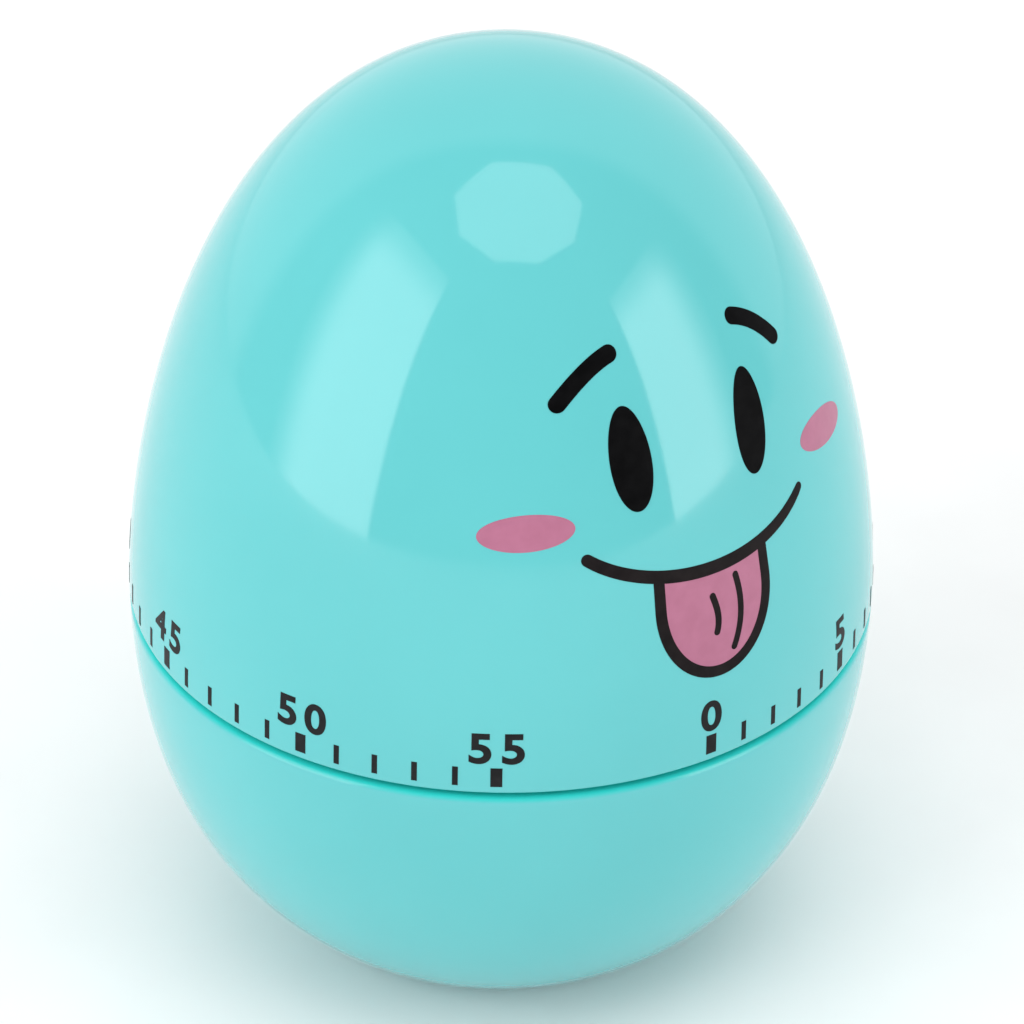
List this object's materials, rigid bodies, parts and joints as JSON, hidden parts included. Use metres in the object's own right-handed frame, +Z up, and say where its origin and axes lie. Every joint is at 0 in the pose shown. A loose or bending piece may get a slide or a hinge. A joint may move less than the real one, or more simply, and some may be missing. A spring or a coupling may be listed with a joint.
{
  "type": "kitchen timer",
  "caption": "Wind-up egg-shaped kitchen timer: a turning dome on a base that holds a spring clockwork and a bell.",
  "frame": {"origin": "middle of the foot, on the surface that the timer stands on", "axes": "+Z up along the axis that the dome turns about; -Y towards the front, where the face is at rest; +X to the right"},
  "size_m": [0.06, 0.06, 0.0771],
  "materials": {
    "turquoise_plastic": "smooth glossy moulding",
    "white_plastic": "moulded",
    "zinc_steel": "stamped and zinc plated",
    "bright_steel": "turned and polished",
    "spring_steel": "blued strip",
    "wheel_brass": "stamped",
    "bell_steel": "plated"
  },
  "bodies": {
    "case": {"base_shell": "turquoise_plastic", "bottom_plate": "zinc_steel", "top_plate": "zinc_steel", "pillars": "bright_steel", "pillar_screws_upper": "bright_steel", "pillar_screws_lower": "bright_steel", "movement_screws": "bright_steel", "bell_post": "bright_steel", "bell_post_rivets": "bright_steel", "bell": "bell_steel", "bell_washer": "bright_steel", "bell_screw": "bright_steel", "mainspring": "spring_steel", "spring_post": "bright_steel", "release_post": "bright_steel"},
    "dial": {"dome_shell": "turquoise_plastic", "drive_plate": "white_plastic", "drive_plate_screws": "bright_steel", "main_shaft": "bright_steel", "shaft_washer": "bright_steel", "shaft_circlip": "bright_steel", "cam_disc": "zinc_steel", "ratchet_wheel": "zinc_steel"},
    "main_wheel_set": {"main_wheel": "wheel_brass", "click_pin": "bright_steel", "click_spring": "spring_steel", "click_spring_pin": "bright_steel"},
    "click_lever": {"click": "zinc_steel"},
    "second_set": {"second_pinion": "bright_steel", "second_wheel": "wheel_brass"},
    "third_set": {"third_pinion": "bright_steel", "third_wheel": "wheel_brass", "star_wheel": "wheel_brass"},
    "escape_set": {"escape_pinion": "bright_steel", "escape_wheel": "wheel_brass"},
    "pallet_set": {"pallet_arbor": "bright_steel", "pallet_lever": "zinc_steel", "balance_bar": "wheel_brass"},
    "hammer_set": {"hammer_arbor": "bright_steel", "hammer_anchor": "zinc_steel", "hammer_detent": "zinc_steel", "hammer_arm": "zinc_steel", "hammer_head": "bright_steel"},
    "release_set": {"release_lever": "zinc_steel"}
  },
  "joints": [
    {"name": "dial_turn", "type": "hinge", "parent": "case", "child": "dial", "pos_m": [0, 0, 0.031], "axis": [0, 0, 1], "range_deg": [-148.75, 178.5]},
    {"name": "main_wheel_turn", "type": "hinge", "parent": "case", "child": "main_wheel_set", "pos_m": [0, 0, 0.0225], "axis": [0, 0, 1], "range_deg": [-148.75, 178.5]},
    {"name": "click_lift", "type": "hinge", "parent": "main_wheel_set", "child": "click_lever", "pos_m": [0.0075, 0, 0.0236], "axis": [0, 0, 1], "range_deg": [0, 10]},
    {"name": "second_turn", "type": "hinge", "parent": "case", "child": "second_set", "pos_m": [0.0128, 0, 0.0249], "axis": [0, 0, 1], "continuous": true},
    {"name": "third_turn", "type": "hinge", "parent": "case", "child": "third_set", "pos_m": [0.0128, 0.009, 0.0269], "axis": [0, 0, 1], "continuous": true},
    {"name": "escape_turn", "type": "hinge", "parent": "case", "child": "escape_set", "pos_m": [0.00491, 0.01187, 0.025], "axis": [0, 0, 1], "continuous": true},
    {"name": "pallet_rock", "type": "hinge", "parent": "case", "child": "pallet_set", "pos_m": [-0.00124, 0.01542, 0.0255], "axis": [0, 0, 1], "range_deg": [-3, 3]},
    {"name": "hammer_swing", "type": "hinge", "parent": "case", "child": "hammer_set", "pos_m": [0.02066, 0.00482, 0.0133], "axis": [0, 0, 1], "range_deg": [-2, 6]},
    {"name": "release_lift", "type": "hinge", "parent": "case", "child": "release_set", "pos_m": [0.01094, -0.00951, 0.0273], "axis": [0, 0, 1], "range_deg": [0, 6]}
  ],
  "couplings": [
    {"joint": "main_wheel_turn", "follows": "dial_turn", "ratio": 1},
    {"joint": "second_turn", "follows": "dial_turn", "ratio": -7},
    {"joint": "third_turn", "follows": "dial_turn", "ratio": 45.5},
    {"joint": "escape_turn", "follows": "dial_turn", "ratio": -273}
  ]
}
